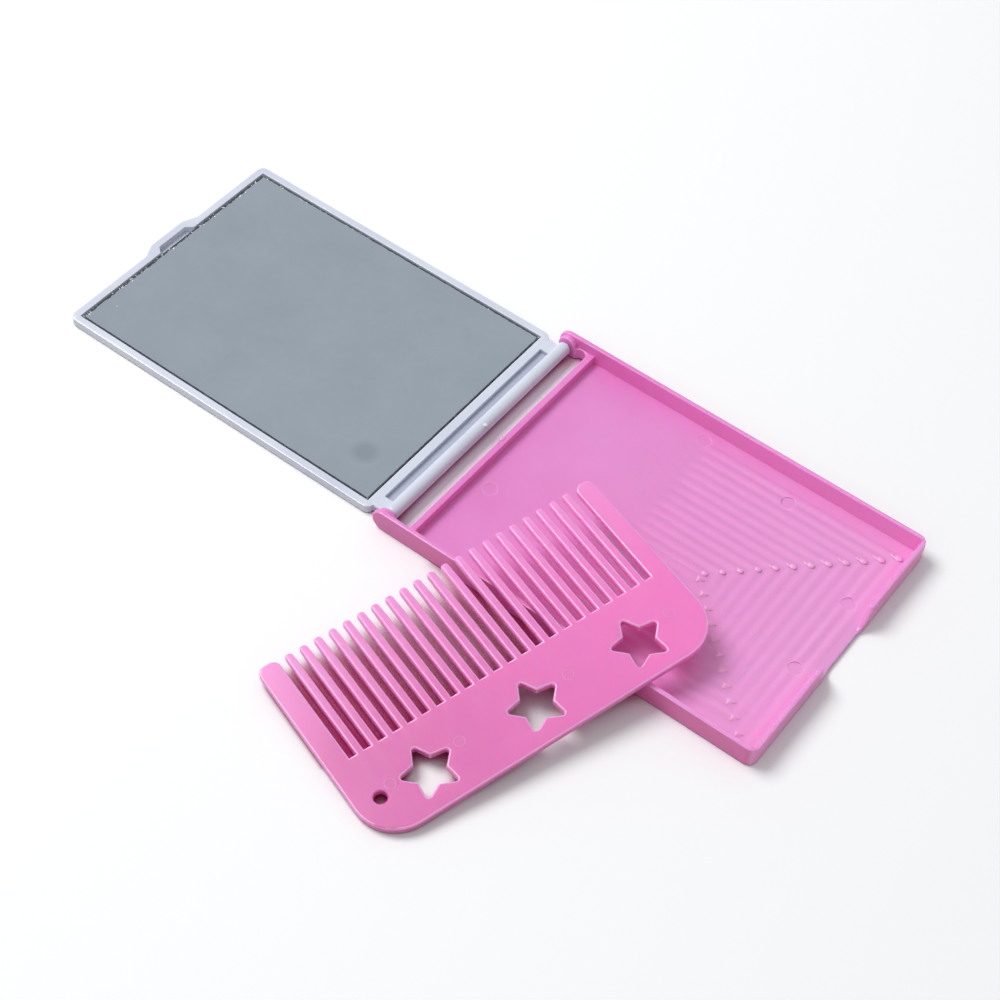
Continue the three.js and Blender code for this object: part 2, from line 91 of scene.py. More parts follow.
# The waves on the tray's floor, in millimetres
CREST_LEVEL = 0.98
WAVE_COUNT = 12
WAVE_PITCH = 2.37
FIRST_CREST = 0.8
WAVES_CENTRE_X = 11.9
WAVES_CENTRE_Y = -1.5
FIRST_TAILED_WAVE = 4

# The mirror's ground edge with the painted shade of its gap, and its chips and specks painted as
# glints, with their lengths in millimetres
GROUND_STRIDE = 0.4
GROUND_ABOVE = 0.01
GROUND_BELOW = 0.05
SHORT_SIDE_CHIPS = 60
LONG_SIDE_CHIPS = 14
LONG_SIDE_CHIPPED = 30
CHIP_HEIGHT = 0.07
GLASS_SPECKS = [(-57.76, 26.6), (-46.03, -17.4), (-114.66, -20.59)]
CHIP_SEED = 7

# The dull spot in the mirror's silvering
DULL_SPOT = (-52.98 * MM, -18.4 * MM, 1.65 * MM)

# Leftover nubs of the moulding, in millimetres
GATE_NUB = (-38.6, 0.2, 3.5)
CHANNEL_NUB = (-42.2, -24.9, 1.5)
WALL_NUB = (-34.6, 0.4, 2.5)

# The stage. The table's colour is painted shade that depends on how open to the light it is, from 0
# to 1, with a painted shadow band below the teeth
FLOOR_HALF = 1.5
FLOOR_LEVEL = -0.1 * MM
SHADE_REACH = 10 * MM
DARK_OPENNESS = 0.2
WHITE_OPENNESS = 0.42
TEETH_SHADE_START = -9 * MM
TEETH_SHADE_END = 17 * MM
TEETH_SHADE_SOFTNESS = 1.5 * MM
TEETH_SHADE_STRENGTH = 0.15
CARD_HALF = 1.1
CARD_PLACE = (-0.8, 0.85, 1.15)
CARD_TARGET = (-0.08, 0, 0)
CARD_COLOUR = (0.54, 0.58, 0.63, 1)
WORLD_STRENGTH = 0.4

# The camera, as fitted to the photograph, with its lens and sensor in millimetres
CAMERA_PLACE = (0.10897, -0.22095, 0.30841)
CAMERA_AZIMUTH = math.radians(32.833)
CAMERA_ELEVATION = math.radians(50.882)
CAMERA_ROLL = math.radians(5.414)
CAMERA_LENS = 76.348
CAMERA_SENSOR = 36

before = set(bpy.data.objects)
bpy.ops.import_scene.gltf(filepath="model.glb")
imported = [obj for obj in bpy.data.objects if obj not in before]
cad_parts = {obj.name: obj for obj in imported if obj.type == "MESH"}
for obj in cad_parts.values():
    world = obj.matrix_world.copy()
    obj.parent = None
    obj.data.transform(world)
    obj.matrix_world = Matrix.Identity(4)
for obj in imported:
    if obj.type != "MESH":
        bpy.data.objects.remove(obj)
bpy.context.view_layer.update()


class Run(NamedTuple):
    """A stretch along a direction, over which a moulding's colour passes over into another."""

    direction: tuple
    start: float
    end: float
    colour: tuple


class RecessShade(NamedTuple):
    """A channel across the moulding whose floor is painted darker as shade: its stretch along X,
    its floor's heights, and its colour.
    """

    start: float
    end: float
    low: float
    high: float
    colour: tuple


# Helpers


def srgb(red, green, blue):
    """A colour given as 0 to 255 on screen, as linear light."""
    values = []
    for value in (red, green, blue):
        share = value / 255
        values.append(share / 12.92 if share <= 0.04045 else ((share + 0.055) / 1.055) ** 2.4)
    return (*values, 1.0)


def new_object(name, data):
    """An object in the scene that shows this mesh, lamp or camera."""
    made = bpy.data.objects.new(name, data)
    bpy.context.scene.collection.objects.link(made)
    return made


def new_piece(name, body, work, materials):
    """A piece from a mesh worked out in millimetres, which rides on a body."""
    bmesh.ops.scale(work, vec=(MM,) * 3, verts=work.verts)
    mesh = bpy.data.meshes.new(name)
    for material in materials:
        mesh.materials.append(material)
    work.to_mesh(mesh)
    work.free()
    piece = new_object(name, mesh)
    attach(piece, body)
    return piece


class Nodes:
    """The node tree of a material or a world, with short calls to add and link nodes."""

    def __init__(self, owner, output_kind="ShaderNodeOutputMaterial"):
        owner.use_nodes = True
        self.tree = owner.node_tree
        self.tree.nodes.clear()
        self.output = self.add(output_kind)

    def add(self, kind, **settings):
        """A new node with these settings."""
        node = self.tree.nodes.new(kind)
        for key, value in settings.items():
            setattr(node, key, value)
        return node

    def feed(self, socket, value):
        """Links another node's output to a socket, or sets the socket to a plain value."""
        if isinstance(value, bpy.types.NodeSocket):
            self.tree.links.new(value, socket)
        else:
            socket.default_value = value

    def finish(self, surface):
        """Makes this shader the surface."""
        self.feed(self.output.inputs["Surface"], surface)

    def coordinates(self):
        """A point's place in the object's own frame."""
        return self.add("ShaderNodeTexCoord").outputs["Object"]

    def calculate(self, operation, *values):
        """The result of a sum or other operation on outputs and numbers."""
        node = self.add("ShaderNodeMath", operation=operation)
        for socket, value in zip(node.inputs, values):
            self.feed(socket, value)
        return node.outputs["Value"]

    def measure(self, operation, vector):
        """The result of a vector operation on a point's place and this vector."""
        node = self.add("ShaderNodeVectorMath", operation=operation)
        self.feed(node.inputs[0], self.coordinates())
        self.feed(node.inputs[1], vector)
        return node.outputs["Value"]

    def distance_along(self, direction):
        """How far along a direction a point lies."""
        return self.measure("DOT_PRODUCT", direction)

    def distance_from(self, place):
        """How far from a place a point lies."""
        return self.measure("DISTANCE", place)

    def noise(self, scale, detail, roughness=0.5):
        """Soft random values from 0 to 1."""
        node = self.add("ShaderNodeTexNoise")
        self.feed(node.inputs["Scale"], scale)
        self.feed(node.inputs["Detail"], detail)
        self.feed(node.inputs["Roughness"], roughness)
        self.feed(node.inputs["Vector"], self.coordinates())
        return node.outputs["Fac"]

    def ramp(self, factor, stops):
        """A colour that runs through these stops, each a position and its colour."""
        node = self.add("ShaderNodeValToRGB")
        elements = node.color_ramp.elements
        while len(elements) < len(stops):
            elements.new(0.5)
        for element, (position, colour) in zip(elements, stops):
            element.position = position
            element.color = colour
        self.feed(node.inputs["Fac"], factor)
        return node.outputs["Color"]

    def map_range(self, value, from_low, from_high, to_low, to_high):
        """A value carried over from one range to another, and held to its ends."""
        node = self.add("ShaderNodeMapRange")
        self.feed(node.inputs["Value"], value)
        self.feed(node.inputs["From Min"], from_low)
        self.feed(node.inputs["From Max"], from_high)
        self.feed(node.inputs["To Min"], to_low)
        self.feed(node.inputs["To Max"], to_high)
        return node.outputs["Result"]

    def band(self, value, start, end, soft, strength=1.0):
        """The strength where a value lies between two limits, and 0 a soft step beyond them."""
        rise = self.map_range(value, start - soft, start, 0.0, strength)
        fall = self.map_range(value, end + soft, end, 0.0, 1.0)
        return self.calculate("MULTIPLY", rise, fall)

    def bump(self, height, strength, distance):
        """The normal of a surface that rises and falls with a height."""
        node = self.add("ShaderNodeBump")
        self.feed(node.inputs["Strength"], strength)
        self.feed(node.inputs["Distance"], distance)
        self.feed(node.inputs["Height"], height)
        return node.outputs["Normal"]

    def mix(self, share, first, second):
        """The first colour, with this share of the second."""
        node = self.add("ShaderNodeMix", data_type="RGBA")
        share_input = next(socket for socket in node.inputs if socket.type == "VALUE")
        first_input, second_input = (socket for socket in node.inputs if socket.type == "RGBA")
        self.feed(share_input, share)
        self.feed(first_input, first)
        self.feed(second_input, second)
        return next(socket for socket in node.outputs if socket.type == "RGBA")

    def principled(self, **values):
        """Makes the surface a principled shader. Its inputs' names have underscores for spaces."""
        shader = self.add("ShaderNodeBsdfPrincipled")
        for key, value in values.items():
            self.feed(shader.inputs[key.replace("_", " ")], value)
        self.finish(shader.outputs["BSDF"])


# Materials


def moulded_plastic(
    name, colour, pale, deep, roughness, milkiness=0.8, runs=(), recess_shade=None, rim_highlight_centres=()
):
    """Glossy moulded plastic: soft flow clouds in the colour, a fine skin and faint scuffs.

    The runs change its colour along a direction; the case's runs and the comb's run along its
    length are painted light and shade. Round each ejector mark's centre in the last argument it
    paints a pale ring as a highlight on the mark's edge.
    """
    material = bpy.data.materials.new(name)
    nodes = Nodes(material)
    clouds = nodes.noise(CLOUD_SCALE, detail=4)
    flow = nodes.ramp(clouds, [(0.3, deep), (0.5, colour), (0.72, pale)])
    for run in runs:
        distance = nodes.distance_along(run.direction)
        flow = nodes.mix(nodes.map_range(distance, run.start, run.end, 0.0, 1.0), flow, run.colour)
    # Painted shade on the floor of a channel
    if recess_shade:
        soft = 0.1 * MM
        across = nodes.band(nodes.distance_along((1, 0, 0)), recess_shade.start, recess_shade.end, soft)
        at_floor = nodes.band(nodes.distance_along((0, 0, 1)), recess_shade.low, recess_shade.high, soft)
        flow = nodes.mix(nodes.calculate("MULTIPLY", across, at_floor), flow, recess_shade.colour)
    inner = TRAY_MARK_RADIUS * MM
    width = RIM_HIGHLIGHT_WIDTH * MM
    for centre in rim_highlight_centres:
        # A pale ring round each mark, painted as a highlight on its edge
        rim = nodes.band(nodes.distance_from(centre), inner, inner + width, width, RIM_HIGHLIGHT_STRENGTH)
        flow = nodes.mix(rim, flow, srgb(252, 186, 228))
    skin = nodes.noise(SKIN_SCALE, detail=2)
    scuffs = nodes.noise(SCUFF_SCALE, detail=6, roughness=0.7)
    height = nodes.calculate("MULTIPLY_ADD", skin, SKIN_SHARE, scuffs)
    nodes.principled(
        Base_Color=flow,
        Roughness=nodes.map_range(scuffs, 0.3, 0.75, roughness - 0.06, roughness + 0.1),
        IOR=1.49,
        Specular_IOR_Level=0.9,
        Subsurface_Weight=milkiness,
        Subsurface_Radius=(1.0, 0.2, 0.5),
        Subsurface_Scale=2 * MM,
        Normal=nodes.bump(height, strength=0.25, distance=0.02 * MM),
    )
    return material


def tray_plastic():
    """The case's pink, with painted light paler towards the front wall and painted shade deeper on
    the long walls' outer faces.
    """
    painted_outer_face_shade = srgb(226, 108, 180)
    return moulded_plastic(
        "tray_plastic",
        colour=srgb(236, 134, 206),
        pale=srgb(240, 142, 212),
        deep=srgb(231, 126, 199),
        roughness=0.36,
        milkiness=0.45,
        runs=[
            # Painted light: paler towards the front wall
            Run((1, 0, 0), -35 * MM, 42 * MM, srgb(246, 159, 218)),
            # Painted shade on the long walls' outer faces
            Run((0, 1, 0), 29.6 * MM, 29.9 * MM, painted_outer_face_shade),
            Run((0, -1, 0), 29.6 * MM, 29.9 * MM, painted_outer_face_shade),
        ],
        rim_highlight_centres=[(x * MM, y * MM, TRAY_FLOOR_LEVEL * MM) for x, y in TRAY_MARKS],
    )


def tray_edge_painted_highlight():
    """The paler pink of the case's rounded edges, a painted highlight."""
    return moulded_plastic(
        "tray_edge_painted_highlight",
        colour=srgb(246, 154, 217),
        pale=srgb(249, 166, 223),
        deep=srgb(242, 143, 210),
        roughness=0.22,
    )


def tray_bead_plastic_and_painted_glint():
    """The pale pink of the small beads and the nub that stand on the case; on the beads, where the
    floor's waves turn, it is a painted glint.
    """
    return moulded_plastic(
        "tray_bead_plastic_and_painted_glint",
        colour=srgb(246, 168, 220),
        pale=srgb(250, 180, 226),
        deep=srgb(240, 156, 214),
        roughness=0.3,
        milkiness=0,
    )


def comb_plastic():
    """The comb's pink, with painted light paler away from the cord hole, and paler towards the
    teeth's tips.
    """
    return moulded_plastic(
        "comb_plastic",
        colour=srgb(221, 103, 177),
        pale=srgb(226, 111, 184),
        deep=srgb(216, 95, 170),
        roughness=0.34,
        runs=[
            # Painted light: paler away from the cord hole
            Run(ALONG_COMB, -70 * MM, -8 * MM, srgb(248, 128, 204)),
            Run(ALONG_TEETH, -12 * MM, 14 * MM, srgb(248, 150, 216)),
        ],
    )


def comb_edge_painted_highlight():
    """The paler pink of the comb's rounded edges, a painted highlight."""
    return moulded_plastic(
        "comb_edge_painted_highlight",
        colour=srgb(252, 172, 222),
        pale=srgb(254, 184, 228),
        deep=srgb(248, 160, 214),
        roughness=0.22,
    )


def comb_ring_plastic():
    """The pink of the comb's ejector rings."""
    return moulded_plastic(
        "comb_ring_plastic",
        colour=srgb(246, 152, 211),
        pale=srgb(249, 162, 217),
        deep=srgb(240, 142, 205),
        roughness=0.3,
        milkiness=0,
    )


def lid_plastic():
    """The lid's lilac-white, with painted shade on the floor of the channel beside the bar."""
    return moulded_plastic(
        "lid_plastic",
        colour=srgb(214, 218, 232),
        pale=srgb(222, 226, 238),
        deep=srgb(206, 209, 225),
        roughness=0.3,
        milkiness=0,
        recess_shade=RecessShade(-43.3 * MM, -40.9 * MM, 0.7 * MM, 1.3 * MM, srgb(178, 182, 199)),
    )


def lid_edge_painted_highlight():
    """The paler white of the lid's rounded edges, a painted highlight."""
    return moulded_plastic(
        "lid_edge_painted_highlight",
        colour=srgb(228, 231, 242),
        pale=srgb(234, 237, 246),
        deep=srgb(221, 224, 237),
        roughness=0.22,
        milkiness=0,
    )


def silvered_glass():
    """The mirror's face: a grey-blue reflection with a faint haze and one dull round spot."""
    material = bpy.data.materials.new("mirror_silvering")
    nodes = Nodes(material)
    haze = nodes.noise(HAZE_SCALE, detail=6, roughness=0.65)
    silver = nodes.ramp(haze, [(0.3, srgb(196, 203, 208)), (0.7, srgb(205, 211, 216))])
    spot = nodes.map_range(nodes.distance_from(DULL_SPOT), 1.5 * MM, 3.2 * MM, 0.38, 0.0)
    nodes.principled(
        Base_Color=nodes.mix(spot, silver, srgb(158, 164, 170)),
        Metallic=1.0,
        Roughness=nodes.map_range(haze, 0.3, 0.8, 0.015, 0.06),
    )
    return material


def ground_edge_and_gap_shade():
    """The mirror's cut edge: dark as the glass's own edge and as painted shade of the gap beside
    it, with pale painted glints here and there.
    """
    material = bpy.data.materials.new("ground_edge_and_gap_shade")
    nodes = Nodes(material)
    chips = nodes.noise(CHIP_SCALE, detail=3, roughness=0.6)
    shades = [(0.35, srgb(22, 26, 30)), (0.6, srgb(52, 60, 66)), (0.72, srgb(140, 150, 158))]
    nodes.principled(
        Base_Color=nodes.ramp(chips, shades),
        Roughness=nodes.map_range(chips, 0.4, 0.7, 0.55, 0.2),
        IOR=1.52,
    )
    return material


def chip_painted_glint():
    """A chip of glass whose facets are painted near white as a glint."""
    material = bpy.data.materials.new("glass_chip_painted_glint")
    nodes = Nodes(material)
    facets = nodes.noise(FACET_SCALE, detail=2)
    nodes.principled(
        Base_Color=nodes.ramp(facets, [(0.3, srgb(236, 240, 244)), (0.7, srgb(255, 255, 255))]),
        Roughness=nodes.map_range(facets, 0.3, 0.7, 0.1, 0.3),
        IOR=1.52,
    )
    return material


def tape_paper():
    """The fibrous paper of the double-sided tape."""
    material = bpy.data.materials.new("tape_paper")
    nodes = Nodes(material)
    fibres = nodes.noise(FIBRE_SCALE, detail=5, roughness=0.7)
    nodes.principled(
        Base_Color=nodes.ramp(fibres, [(0.35, srgb(214, 208, 192)), (0.65, srgb(236, 231, 218))]),
        Roughness=0.85,
        Normal=nodes.bump(fibres, strength=0.4, distance=0.05 * MM),
    )
    return material


# Solids with rounded edges


def edge_groups(edges):
    """The edges, sorted into groups that hang together."""
    waiting = set(edges)
    groups = []
    for first in edges:
        if first not in waiting:
            continue
        waiting.remove(first)
        group = [first]
        for edge in group:
            for corner in edge.verts:
                for neighbour in corner.link_edges:
                    if neighbour in waiting:
                        waiting.remove(neighbour)
                        group.append(neighbour)
        groups.append(group)
    return groups


def span(edges):
    """The longest side of the box round some edges."""
    places = [corner.co for edge in edges for corner in edge.verts]
    return max(max(p[i] for p in places) - min(p[i] for p in places) for i in range(3))


def solid_in_millimetres(node_name):
    """A working copy of a solid's mesh, scaled to millimetres, with its faces joined up."""
    work = bmesh.new()
    work.from_mesh(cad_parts[node_name].data)
    bmesh.ops.scale(work, vec=(1 / MM,) * 3, verts=work.verts)
    bmesh.ops.remove_doubles(work, verts=work.verts, dist=SAME_CORNER)
    return work


def broad_top(node_name):
    """The direction that a solid's broad top faces, and how far along it the top lies."""
    least_rise = 0.9
    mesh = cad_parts[node_name].data
    upward = [face for face in mesh.polygons if face.normal.z > least_rise]
    up = sum((face.normal * face.area for face in upward), Vector())
    up.normalize()
    return up, max(up.dot(corner.co) for corner in mesh.vertices) / MM


def filled_marks(work, up, level):
    """Fills the ejector marks in the flat that faces up, and gives their centres and radii."""
    floor_corners = set()
    for corner in work.verts:
        depth = level - up.dot(corner.co)
        if abs(depth - COMB_MARK_DEPTH) < COMB_MARK_DEPTH / 3:
            floor_corners.add(corner)
    floor_edges = [edge for edge in work.edges if floor_corners.issuperset(edge.verts)]
    marks = []
    for group in edge_groups(floor_edges):
        if not LEAST_MARK_SPAN < span(group) < GREATEST_MARK_SPAN:
            continue
        # Each corner once, in the same order on every run
        corners = list(dict.fromkeys(corner for edge in group for corner in edge.verts))
        for corner in corners:
            corner.co += up * COMB_MARK_DEPTH
        centre = sum((corner.co for corner in corners), Vector()) / len(corners)
        marks.append((centre, span(group) / 2))
    return marks


def level_out(work, up, level):
    """Puts every corner that lies in the flat, but for rounding errors, exactly in it."""
    for corner in work.verts:
        miss = level - up.dot(corner.co)
        if abs(miss) < COMB_MARK_DEPTH / 3:
            corner.co += up * miss
    bmesh.ops.remove_doubles(work, verts=work.verts, dist=SAME_FILLED_CORNER)


def join_flat_faces(work):
    """Joins neighbouring faces that lie in one plane, so that a rounding runs evenly past them."""
    bmesh.ops.dissolve_limit(
        work, angle_limit=FLAT_BELOW, verts=work.verts, edges=work.edges, delimit=set()
    )


def round_outer_edges(work, width):
    """Rounds off the outer edges. The rims of small marks stay crisp."""
    sharp = []
    for edge in work.edges:
        between_faces = len(edge.link_faces) == 2
        if between_faces and edge.is_convex and edge.calc_face_angle() > ROUNDED_ABOVE:
            sharp.append(edge)
    large = [group for group in edge_groups(sharp) if span(group) > GREATEST_MARK_SPAN]
    bmesh.ops.bevel(
        work,
        geom=[edge for group in large for edge in group],
        offset=width,
        offset_type="OFFSET",
        loop_slide=False,
        segments=2,
        profile=0.5,
        affect="EDGES",
        clamp_overlap=False,
        miter_outer="SHARP",
        material=EDGE_MATERIAL_INDEX,
    )
    bmesh.ops.dissolve_degenerate(work, dist=NO_LENGTH, edges=work.edges)
    bmesh.ops.triangulate(work, faces=[face for face in work.faces if len(face.verts) > 4])


def shade_smooth(work):
    """Smooth shading, with crisp edges where the surface turns sharply."""
    for face in work.faces:
        face.smooth = True
    for edge in work.edges:
        edge.smooth = edge.calc_face_angle(0) < CRISP_ABOVE


def even_shading(piece):
    """Lets broad faces lead the shading, so that they look flat up to their rounded edges."""
    even = piece.modifiers.new("even_shading", "WEIGHTED_NORMAL")
    even.mode = "FACE_AREA"
    even.weight = 100
    even.keep_sharp = True


def replacing_piece(name, node_name, body, work, materials):
    """The piece that shows in place of a node's solid."""
    shade_smooth(work)
    piece = new_piece(name, body, work, materials)
    even_shading(piece)
    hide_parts(node_name)


# Small closed forms


def small_piece(name, body, work, material):
    """A piece from small closed forms, with all their faces turned outwards."""
    bmesh.ops.recalc_face_normals(work, faces=work.faces)
    new_piece(name, body, work, [material])


def join_in_ring(work, sections, smooth):
    """Faces from each section's corners to the next one's, and from the last to the first."""
    for index, section in enumerate(sections):
        following = sections[(index + 1) % len(sections)]
        for turn in range(len(section)):
            after = (turn + 1) % len(section)
            corners = (section[turn], following[turn], following[after], section[after])
            work.faces.new(corners).smooth = smooth


def ring(work, centre, radius, thickness, up):
    """A fine raised ring, as an ejector pin leaves on a moulding."""
    around_count = 40
    section_count = 6
    side = up.orthogonal().normalized()
    ahead = up.cross(side)
    sections = []
    for step in range(around_count):
        angle = math.tau * step / around_count
        outward = side * math.cos(angle) + ahead * math.sin(angle)
        section = []
        for turn in range(section_count):
            swing = math.tau * turn / section_count
            reach = outward * (radius + thickness * math.cos(swing))
            rise = up * thickness * math.sin(swing)
            section.append(work.verts.new(centre + reach + rise))
        sections.append(section)
    join_in_ring(work, sections, smooth=True)


def dome(work, centre, half_sizes, turn=0.0, sides=12, steps=4):
    """A closed low dome that stands at centre, turned about its upright axis."""
    half_length, half_width, height = half_sizes
    loops = []
    for step in range(steps):
        rise = math.pi / 2 * step / steps
        loop = []
        for side in range(sides):
            angle = math.tau * side / sides
            along = half_length * math.cos(angle) * math.cos(rise)
            across = half_width * math.sin(angle) * math.cos(rise)
            offset = Vector((
                along * math.cos(turn) - across * math.sin(turn),
                along * math.sin(turn) + across * math.cos(turn),
                height * math.sin(rise),
            ))
            loop.append(work.verts.new(centre + offset))
        loops.append(loop)
    work.faces.new(loops[0])
    for lower, upper in zip(loops, loops[1:]):
        for side in range(sides):
            after = (side + 1) % sides
            face = work.faces.new((lower[side], lower[after], upper[after], upper[side]))
            face.smooth = True
    top = work.verts.new(centre + Vector((0, 0, height)))
    for side in range(sides):
        face = work.faces.new((loops[-1][side], loops[-1][(side + 1) % sides], top))
        face.smooth = steps > 1


def facet(work, centre, half_sizes, turn):
    """A low pyramid with three sides, which is a dome in its coarsest form."""
    dome(work, centre, half_sizes, turn, sides=3, steps=1)


# Pieces


def case_tray_moulding():
    """The case, whose waves and ejector marks keep the solid's faces."""
    work = solid_in_millimetres("case_tray")
    round_outer_edges(work, TRAY_ROUNDING)
    materials = [tray_plastic(), tray_edge_painted_highlight()]
    replacing_piece("case_tray_moulding", "case_tray", "tray", work, materials)


def mirror_frame_moulding(material):
    """The lid, with its rim, channel, bar and tab."""
    work = solid_in_millimetres("mirror_frame")
    join_flat_faces(work)
    round_outer_edges(work, LID_ROUNDING)
    materials = [material, lid_edge_painted_highlight()]
    replacing_piece("mirror_frame_moulding", "mirror_frame", "lid", work, materials)


def comb_moulding():
    """The comb. Its ejector marks are filled in here, and shown as raised rings instead."""
    work = solid_in_millimetres("comb")
    up, level = broad_top("comb")
    marks = filled_marks(work, up, level)
    level_out(work, up, level)
    join_flat_faces(work)
    round_outer_edges(work, COMB_ROUNDING)
    materials = [comb_plastic(), comb_edge_painted_highlight()]
    replacing_piece("comb_moulding", "comb", "loose_comb", work, materials)
    rings = bmesh.new()
    for centre, radius in marks:
        ring(rings, centre, radius, COMB_RING_THICKNESS, up)
    small_piece("comb_ejector_rings", "loose_comb", rings, comb_ring_plastic())


def mitre_beads(material):
    """Beads at the far corner and facets at the near corner, where the floor's waves turn, painted
    pale as glints.

    They grow from the innermost wave to the outermost. The beads of the outer waves have a
    tail along the wave's far arm.
    """
    work = bmesh.new()
    for wave in range(WAVE_COUNT):
        growth = wave / WAVE_COUNT
        bead_half_sizes = (0.7 + 0.2 * growth, 0.58 + 0.14 * growth, 0.32)
        tail_half_sizes = (0.4 + 0.6 * growth, 0.3, 0.16)
        facet_half_sizes = (1.15, 0.9, 0.34)
        reach = FIRST_CREST + WAVE_PITCH * wave
        corner_x = WAVES_CENTRE_X + reach
        far_corner = Vector((corner_x, WAVES_CENTRE_Y + reach, CREST_LEVEL))
        near_corner = Vector((corner_x, WAVES_CENTRE_Y - reach, CREST_LEVEL))
        dome(work, far_corner, bead_half_sizes)
        if wave >= FIRST_TAILED_WAVE:
            tail_centre = far_corner - Vector((0.9, 0.2, 0))
            dome(work, tail_centre, tail_half_sizes, turn=math.radians(-14))
        facet(work, near_corner, facet_half_sizes, turn=math.radians(25))
    small_piece("wave_mitre_beads", "tray", work, material)


def lid_nubs(material):
    """Leftover nubs on the lid: the gate's on the bar, and one in the channel."""
    work = bmesh.new()
    dome(work, Vector(GATE_NUB), (0.6, 0.55, 0.4), sides=8, steps=3)
    dome(work, Vector(CHANNEL_NUB), (0.55, 0.45, 0.5), sides=8, steps=3)
    small_piece("lid_gate_nubs", "lid", work, material)


def wall_nub(material):
    """A leftover nub on the tray's rear wall."""
    work = bmesh.new()
    dome(work, Vector(WALL_NUB), (0.55, 0.95, 0.3), sides=7, steps=2)
    small_piece("tray_wall_nub", "tray", work, material)


def glass_corners():
    """The lowest and the highest corner of the box round the mirror's glass."""
    return [Vector(corner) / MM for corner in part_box("mirror_glass")]


def ragged_edge(rng):
    """The mirror's ground edge: a dark band round its face, partly the glass's own edge and partly
    painted shade of the gap beside it, raggedest along the far short side.
    """
    low, high = glass_corners()
    near_start = Vector((low.x, low.y, 0))
    near_end = Vector((high.x, low.y, 0))
    far_start = Vector((high.x, high.y, 0))
    far_end = Vector((low.x, high.y, 0))
    # Each side's start, end, inward direction, width and raggedness
    sides = (
        (near_start, near_end, Vector((0, 1, 0)), 0.22, 0.08),
        (near_end, far_start, Vector((-1, 0, 0)), 0.24, 0.08),
        (far_start, far_end, Vector((0, -1, 0)), 0.3, 0.14),
        (far_end, near_start, Vector((1, 0, 0)), 0.42, 0.3),
    )
    above = Vector((0, 0, high.z + GROUND_ABOVE))
    below = Vector((0, 0, high.z - GROUND_BELOW))
    work = bmesh.new()
    sections = []
    for start, end, inward, width, raggedness in sides:
        count = int((end - start).length / GROUND_STRIDE)
        for step in range(1, count):
            depth = width + raggedness * (rng.random() - 0.4)
            outer = start.lerp(end, step / count)
            inner = outer + inward * depth
            places = (outer + above, inner + above, inner + below, outer + below)
            sections.append([work.verts.new(place) for place in places])
    join_in_ring(work, sections, smooth=False)
    small_piece("mirror_ground_edge_and_gap_shade", "lid", work, ground_edge_and_gap_shade())


def glass_chips(rng):
    """Chips along the mirror's far short side and the far end of its far side, and a few specks,
    painted near white as glints.
    """
    low, high = glass_corners()
    places = []
    for _ in range(SHORT_SIDE_CHIPS):
        inset = 0.1 + 0.6 * rng.random() ** 2
        places.append((low.x + inset, low.y + (high.y - low.y) * rng.random()))
    for _ in range(LONG_SIDE_CHIPS):
        along = LONG_SIDE_CHIPPED * rng.random()
        places.append((low.x + along, high.y - 0.15 - 0.3 * rng.random()))
    places.extend(GLASS_SPECKS)
    work = bmesh.new()
    for x, y in places:
        size = 0.12 + 0.2 * rng.random()
        turn = math.tau * rng.random()
        facet(work, Vector((x, y, high.z)), (size, 0.7 * size, CHIP_HEIGHT), turn)
    small_piece("mirror_edge_chips", "lid", work, chip_painted_glint())


def cover_solid(node_name, material):
    """Gives a solid that shows as it is its material."""
    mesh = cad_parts[node_name].data
    mesh.materials.clear()
    mesh.materials.append(material)


# Stage


def square(name, half):
    """A flat square about its own origin."""
    corners = [(-half, -half, 0), (half, -half, 0), (half, half, 0), (-half, half, 0)]
    mesh = bpy.data.meshes.new(name)
    mesh.from_pydata(corners, [], [(0, 1, 2, 3)])
    return new_object(name, mesh)


def seen_or_mirrored(nodes, path):
    """1 on rays that the camera or a reflection sends out, and 0 on others."""
    return nodes.calculate("MAXIMUM", path.outputs["Is Camera Ray"], path.outputs["Is Glossy Ray"])


def white_floor():
    """A white table that shows as plain white, and darkens where the object shades it.

    Its darkening is painted shade: where it is little open to the light, and most of all in a
    painted shadow band below the teeth, it is painted a deep wine colour.
    """
    floor = square("floor", FLOOR_HALF)
    floor.location.z = FLOOR_LEVEL
    material = bpy.data.materials.new("white_floor")
    nodes = Nodes(material)
    grain = nodes.noise(TABLE_SCALE, detail=2)
    grey = nodes.ramp(grain, [(0.0, (0.58, 0.58, 0.58, 1)), (1.0, (0.62, 0.62, 0.62, 1))])
    openness = nodes.add("ShaderNodeAmbientOcclusion", samples=16)
    nodes.feed(openness.inputs["Distance"], SHADE_REACH)
    # A painted shadow band on the table below the comb's teeth, at a fixed stretch along them
    painted_teeth_shadow = nodes.band(
        nodes.distance_along(ALONG_TEETH),
        TEETH_SHADE_START,
        TEETH_SHADE_END,
        TEETH_SHADE_SOFTNESS,
        TEETH_SHADE_STRENGTH,
    )
    open_share = nodes.calculate("SUBTRACT", openness.outputs["AO"], painted_teeth_shadow)
    whiteness = nodes.map_range(open_share, DARK_OPENNESS, WHITE_OPENNESS, 0.0, 1.0)
    # The wine colour is painted shade
    shown = nodes.mix(whiteness, srgb(176, 44, 104), WHITE)
    seen = seen_or_mirrored(nodes, nodes.add("ShaderNodeLightPath"))
    nodes.principled(
        Base_Color=nodes.mix(seen, grey, shown),
        Roughness=0.9,
        Specular_IOR_Level=0.1,
    )
    floor.data.materials.append(material)


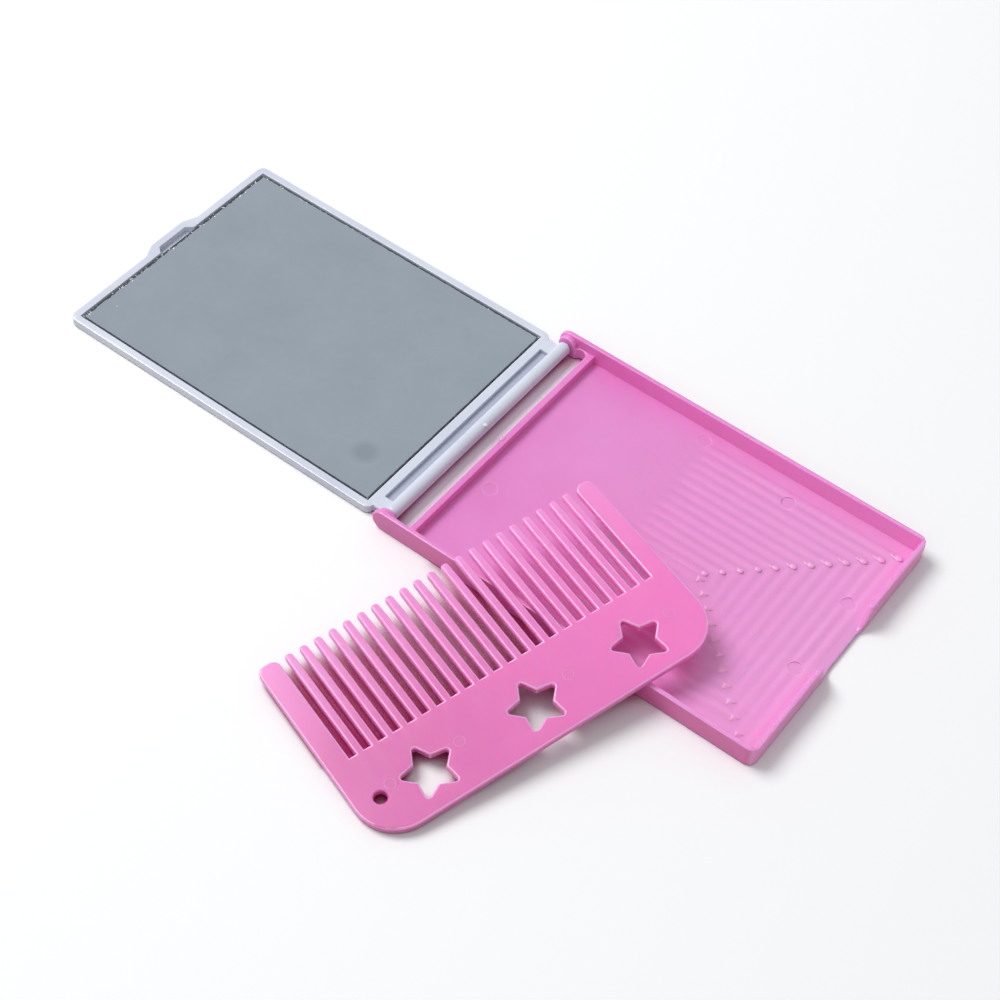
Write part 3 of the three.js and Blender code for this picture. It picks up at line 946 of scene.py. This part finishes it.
def plain_world():
    """Even white light, which the camera and reflections see as plain white."""
    world = bpy.data.worlds.new("studio")
    bpy.context.scene.world = world
    nodes = Nodes(world, "ShaderNodeOutputWorld")
    path = nodes.add("ShaderNodeLightPath")
    through = path.outputs["Is Transmission Ray"]
    seen = nodes.calculate("MAXIMUM", seen_or_mirrored(nodes, path), through)
    strength = nodes.map_range(seen, 0.0, 1.0, WORLD_STRENGTH, 1.0)
    background = nodes.add("ShaderNodeBackground")
    nodes.feed(background.inputs["Color"], WHITE)
    nodes.feed(background.inputs["Strength"], strength)
    nodes.finish(background.outputs["Background"])


def grey_card():
    """A grey-blue card over the far left, which the mirror reflects to the photograph's camera."""
    card = square("grey_card", CARD_HALF)
    card.location = CARD_PLACE
    facing = Vector(CARD_TARGET) - Vector(CARD_PLACE)
    card.rotation_euler = facing.to_track_quat("Z", "Y").to_euler()
    material = bpy.data.materials.new("grey_card")
    nodes = Nodes(material)
    emission = nodes.add("ShaderNodeEmission")
    nodes.feed(emission.inputs["Color"], CARD_COLOUR)
    nodes.feed(emission.inputs["Strength"], 1.0)
    nodes.finish(emission.outputs["Emission"])
    card.data.materials.append(material)


def area_lamp(name, place, size, power):
    """A round lamp that shines at the origin."""
    data = bpy.data.lights.new(name, "AREA")
    data.shape = "DISK"
    data.size = size
    data.energy = power
    lamp = new_object(name, data)
    lamp.location = place
    lamp.rotation_euler = (-Vector(place)).to_track_quat("-Z", "Y").to_euler()


def photo_camera():
    """The camera at the photograph's place and angle."""
    back = Vector((
        math.sin(CAMERA_AZIMUTH) * math.cos(CAMERA_ELEVATION),
        -math.cos(CAMERA_AZIMUTH) * math.cos(CAMERA_ELEVATION),
        math.sin(CAMERA_ELEVATION),
    ))
    right = Vector((math.cos(CAMERA_AZIMUTH), math.sin(CAMERA_AZIMUTH), 0))
    up = back.cross(right)
    rolled_right = right * math.cos(CAMERA_ROLL) + up * math.sin(CAMERA_ROLL)
    rolled_up = up * math.cos(CAMERA_ROLL) - right * math.sin(CAMERA_ROLL)
    data = bpy.data.cameras.new("photo_camera")
    data.sensor_fit = "HORIZONTAL"
    data.sensor_width = CAMERA_SENSOR
    data.lens = CAMERA_LENS
    data.clip_start = 0.01
    data.clip_end = 20
    camera = new_object("photo_camera", data)
    basis = Matrix((rolled_right, rolled_up, back)).transposed().to_4x4()
    camera.matrix_world = Matrix.Translation(CAMERA_PLACE) @ basis
    bpy.context.scene.camera = camera


# The object

lid_white = lid_plastic()
bead_pink_and_painted_glint = tray_bead_plastic_and_painted_glint()
tape = tape_paper()

case_tray_moulding()
mirror_frame_moulding(lid_white)
comb_moulding()
mitre_beads(bead_pink_and_painted_glint)
lid_nubs(lid_white)
wall_nub(bead_pink_and_painted_glint)
rng = random.Random(CHIP_SEED)
ragged_edge(rng)
glass_chips(rng)
cover_solid("mirror_glass", silvered_glass())
cover_solid("tape_strip_near", tape)
cover_solid("tape_strip_far", tape)

# Its surroundings

white_floor()
plain_world()
grey_card()
area_lamp("key", place=(-0.735, -0.1, 1.0), size=0.7, power=10)
area_lamp("fill", place=(-0.123, -0.875, 0.884), size=0.9, power=0.9)
photo_camera()
bpy.context.scene.view_settings.view_transform = "Standard"
